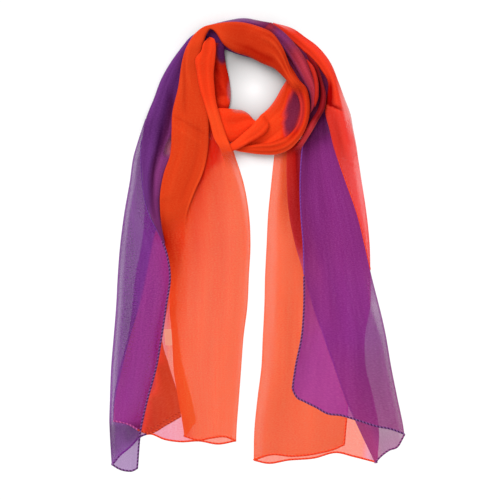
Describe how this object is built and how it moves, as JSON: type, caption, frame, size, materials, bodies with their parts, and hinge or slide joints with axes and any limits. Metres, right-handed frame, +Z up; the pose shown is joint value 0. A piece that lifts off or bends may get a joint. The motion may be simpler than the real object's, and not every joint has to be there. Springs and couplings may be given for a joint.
{
  "type": "chiffon scarf laid out with one turn round the neck opening",
  "caption": "Long sheer chiffon scarf, orange along one side and purple along the other, laid flat in a neck loop with both ends hanging down.",
  "frame": {"origin": "centre of the laid scarf's footprint, on the surface that it lies on", "axes": "+X to the right seen from above, +Y from the ends towards the back of the neck, +Z up from the surface"},
  "size_m": [0.3863, 0.5884, 0.025],
  "materials": {
    "orange_chiffon": "sheer plain weave with a soft sheen",
    "coral_chiffon": "sheer plain weave with a soft sheen, two plies deep",
    "maroon_chiffon": "purple chiffon seen over orange",
    "purple_chiffon": "sheer plain weave with a soft sheen",
    "label_tape": "smooth woven tape, bare"
  },
  "bodies": {
    "root": {"left_tail_wrap": "coral_chiffon", "left_tail_orange_ply": "orange_chiffon", "left_tail_purple_ply": "purple_chiffon", "care_label": "label_tape", "right_tail_wrap": "coral_chiffon", "left_gather": "purple_chiffon", "top_band": "orange_chiffon", "back_strand": "purple_chiffon", "inner_left_wall": "orange_chiffon", "inner_left_strand": "orange_chiffon", "front_left_panel": "orange_chiffon", "cross_strand": "orange_chiffon", "loop_inner": "orange_chiffon", "loop_outer": "orange_chiffon", "maroon_strand": "maroon_chiffon", "thin_red_strand": "orange_chiffon", "outer_maroon_strand": "maroon_chiffon", "outer_band": "orange_chiffon"}
  },
  "joints": []
}
